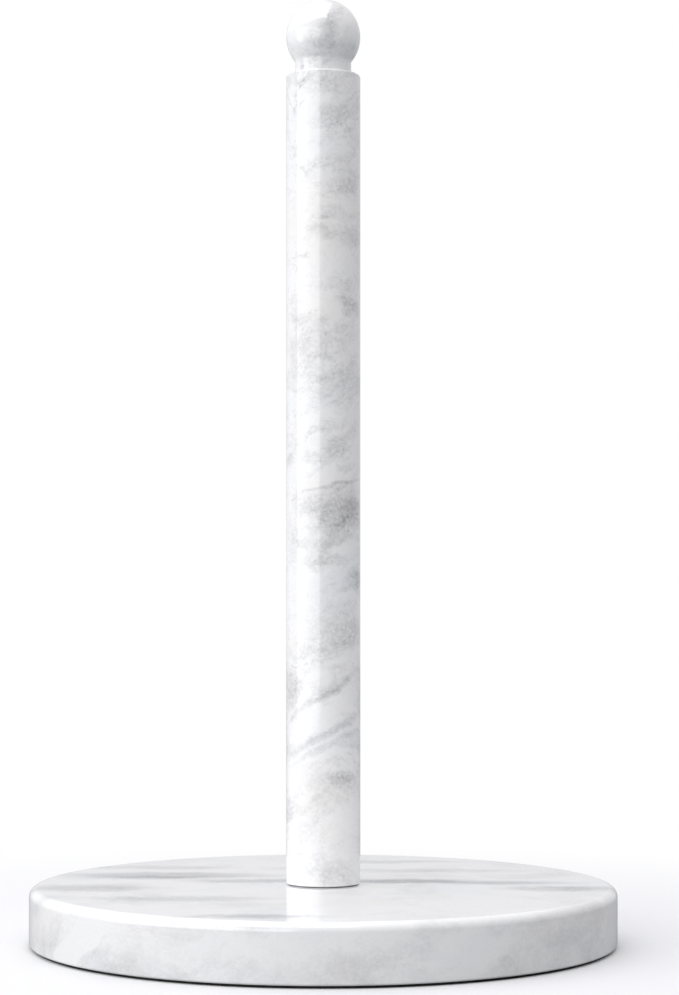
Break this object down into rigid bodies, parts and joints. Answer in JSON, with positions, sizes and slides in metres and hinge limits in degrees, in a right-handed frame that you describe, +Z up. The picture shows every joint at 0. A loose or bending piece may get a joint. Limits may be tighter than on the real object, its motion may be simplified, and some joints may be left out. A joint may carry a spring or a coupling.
{
  "type": "paper towel holder",
  "caption": "Free-standing paper towel holder: a heavy round marble base, a plain round marble pole that unscrews by hand, and a ball finial on a short neck.",
  "frame": {"origin": "centre of the non-slip pad's underside, on the surface that the holder stands on", "axes": "+Z up along the pole's axis; the holder is round, so +X and +Y have no preferred side"},
  "size_m": [0.197, 0.197, 0.3175],
  "materials": {
    "base_marble": "polished marble",
    "pole_marble": "polished marble",
    "finial_marble": "polished marble",
    "black_rubber": "matt foam rubber",
    "zinc_steel": "zinc plated",
    "dowel_steel": "plain drawn steel",
    "brass": "turned",
    "cast_resin": "cast epoxy",
    "grey_plastic": "thin sheet washer"
  },
  "bodies": {
    "base": {"base_disc": "base_marble", "anti_slip_pad": "black_rubber", "base_bolt": "zinc_steel", "bolt_washer": "zinc_steel", "resin_plug": "cast_resin"},
    "foot_ring": {"foot_washer": "grey_plastic"},
    "pole": {"pole": "pole_marble", "pole_insert": "brass", "finial": "finial_marble", "finial_dowel": "dowel_steel"}
  },
  "joints": [
    {"name": "pole_rise", "type": "slide", "parent": "base", "child": "foot_ring", "axis": [0, 0, 1], "range_m": [0, 0.015]},
    {"name": "pole_unscrew", "type": "hinge", "parent": "foot_ring", "child": "pole", "pos_m": [0, 0, 0.02], "axis": [0, 0, 1], "range_deg": [0, 4320]}
  ],
  "couplings": [
    {"joint": "pole_unscrew", "follows": "pole_rise", "rad_per_m": 5026.5}
  ]
}
